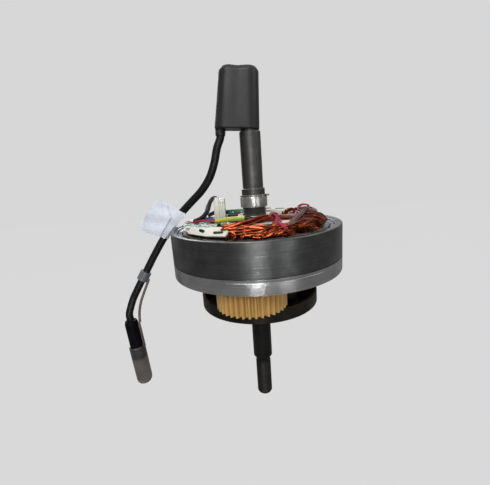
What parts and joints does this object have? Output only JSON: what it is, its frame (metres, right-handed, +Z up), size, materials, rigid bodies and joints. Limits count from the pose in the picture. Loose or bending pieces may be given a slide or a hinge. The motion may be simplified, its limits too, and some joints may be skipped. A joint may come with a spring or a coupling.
{
  "type": "brushless outrunner motor",
  "caption": "Brushless outrunner motor on a long axle, with a planetary reduction of nylon gears below the rotor and a cable with a capped plug.",
  "frame": {"origin": "on the axle's axis at the lower shoulder, where the lower dropout seats", "axes": "+Z up the axle towards the cable cap; the cable leaves on the -X side; -Y faces the side from which the label and one planet gear show"},
  "size_m": [0.1737, 0.125, 0.2524],
  "materials": {
    "axle_steel": "satin grey steel, turned",
    "cap_rubber": "matt black moulded rubber",
    "cable_jacket": "satin black cable jacket",
    "label_paper": "matt white paper flag",
    "plug_rubber": "satin black moulded grip",
    "contact_gold": "bright plated pins",
    "dust_rubber": "translucent grey-brown soft moulding",
    "spring_steel": "bright spring steel",
    "bright_steel": "ground bright steel",
    "seal_rubber": "oily dark rubber",
    "hub_aluminium": "turned aluminium",
    "dark_steel": "black-oxide steel under grease",
    "laminated_steel": "stacked electrical steel",
    "insulator_white": "off-white moulded plastic",
    "copper_winding": "varnished copper wire",
    "sleeve_yellow": "yellow-green sleeving",
    "lead_crimson": "crimson lead",
    "braid_brown": "flat brown lacing braid",
    "board_green": "green circuit board",
    "chip_black": "black moulded chip",
    "connector_white": "white nylon housing",
    "wire_black": "black and brown wire",
    "rotor_steel": "grey turned steel",
    "magnet_plating": "nickel-plated magnet",
    "rotor_aluminium": "turned aluminium",
    "screw_steel": "steel screw",
    "gear_steel": "hardened ground steel",
    "gear_nylon": "beige nylon"
  },
  "bodies": {
    "stator": {"axle": "axle_steel", "cable_cap": "cap_rubber", "cable_boot": "cap_rubber", "motor_cable": "cable_jacket", "cable_label": "label_paper", "plug_body": "plug_rubber", "plug_contacts": "contact_gold", "dust_cap": "dust_rubber", "cap_strap": "dust_rubber", "axle_harness": "cable_jacket", "upper_circlip": "spring_steel", "spacer_ring": "bright_steel", "axle_seal": "seal_rubber", "stator_hub": "hub_aluminium", "stator_key": "dark_steel", "stator_core": "laminated_steel", "upper_insulator": "insulator_white", "lower_insulator": "insulator_white", "stator_coils": "copper_winding", "copper_leads": "copper_winding", "lead_sleeve": "sleeve_yellow", "crimson_lead": "lead_crimson", "flat_braid": "braid_brown", "sensor_board": "board_green", "sensor_chips": "chip_black", "lead_board": "board_green", "board_connector": "connector_white", "sensor_wires": "wire_black", "splice_block": "connector_white", "clutch_race": "gear_steel", "clutch_key": "dark_steel", "lower_circlip": "spring_steel"},
    "rotor": {"rotor_ring": "rotor_steel", "rotor_magnets": "magnet_plating", "rotor_plate": "rotor_aluminium", "rotor_screws": "screw_steel", "sun_gear": "gear_steel", "sun_screws": "screw_steel", "low_rotor_bearing": "bright_steel", "high_rotor_bearing": "bright_steel"},
    "carrier": {"carrier_cup": "dark_steel", "carrier_posts": "dark_steel", "carrier_plate": "dark_steel", "carrier_screws": "screw_steel", "planet_pins": "gear_steel", "planet_washers": "bright_steel", "clutch_rollers": "bright_steel", "clutch_springs": "spring_steel", "clutch_cover": "dark_steel", "carrier_bearing": "bright_steel"},
    "planet_1_bearing": {"planet_bearing_1": "bright_steel"},
    "planet_1": {"planet_gear_1": "gear_nylon"},
    "planet_2_bearing": {"planet_bearing_2": "bright_steel"},
    "planet_2": {"planet_gear_2": "gear_nylon"},
    "planet_3_bearing": {"planet_bearing_3": "bright_steel"},
    "planet_3": {"planet_gear_3": "gear_nylon"}
  },
  "joints": [
    {"name": "rotor_spin", "type": "hinge", "parent": "stator", "child": "rotor", "pos_m": [0, 0, 0.0931], "axis": [0, 0, 1], "continuous": true},
    {"name": "carrier_overrun", "type": "hinge", "parent": "stator", "child": "carrier", "pos_m": [0, 0, 0.0544], "axis": [0, 0, 1], "continuous": true},
    {"name": "planet_1_roll", "type": "hinge", "parent": "carrier", "child": "planet_1_bearing", "pos_m": [-0.00528, -0.03333, 0.068], "axis": [0, 0, 1], "continuous": true},
    {"name": "planet_1_spin", "type": "hinge", "parent": "planet_1_bearing", "child": "planet_1", "pos_m": [-0.00528, -0.03333, 0.068], "axis": [0, 0, 1], "continuous": true},
    {"name": "planet_2_roll", "type": "hinge", "parent": "carrier", "child": "planet_2_bearing", "pos_m": [0.03151, 0.01209, 0.068], "axis": [0, 0, 1], "continuous": true},
    {"name": "planet_2_spin", "type": "hinge", "parent": "planet_2_bearing", "child": "planet_2", "pos_m": [0.03151, 0.01209, 0.068], "axis": [0, 0, 1], "continuous": true},
    {"name": "planet_3_roll", "type": "hinge", "parent": "carrier", "child": "planet_3_bearing", "pos_m": [-0.02623, 0.02124, 0.068], "axis": [0, 0, 1], "continuous": true},
    {"name": "planet_3_spin", "type": "hinge", "parent": "planet_3_bearing", "child": "planet_3", "pos_m": [-0.02623, 0.02124, 0.068], "axis": [0, 0, 1], "continuous": true}
  ],
  "couplings": [
    {"joint": "planet_1_roll", "follows": "carrier_overrun", "ratio": 0.5},
    {"joint": "planet_1_spin", "follows": "rotor_spin", "ratio": -0.5},
    {"joint": "planet_2_roll", "follows": "carrier_overrun", "ratio": 0.5},
    {"joint": "planet_2_spin", "follows": "rotor_spin", "ratio": -0.5},
    {"joint": "planet_3_roll", "follows": "carrier_overrun", "ratio": 0.5},
    {"joint": "planet_3_spin", "follows": "rotor_spin", "ratio": -0.5}
  ]
}
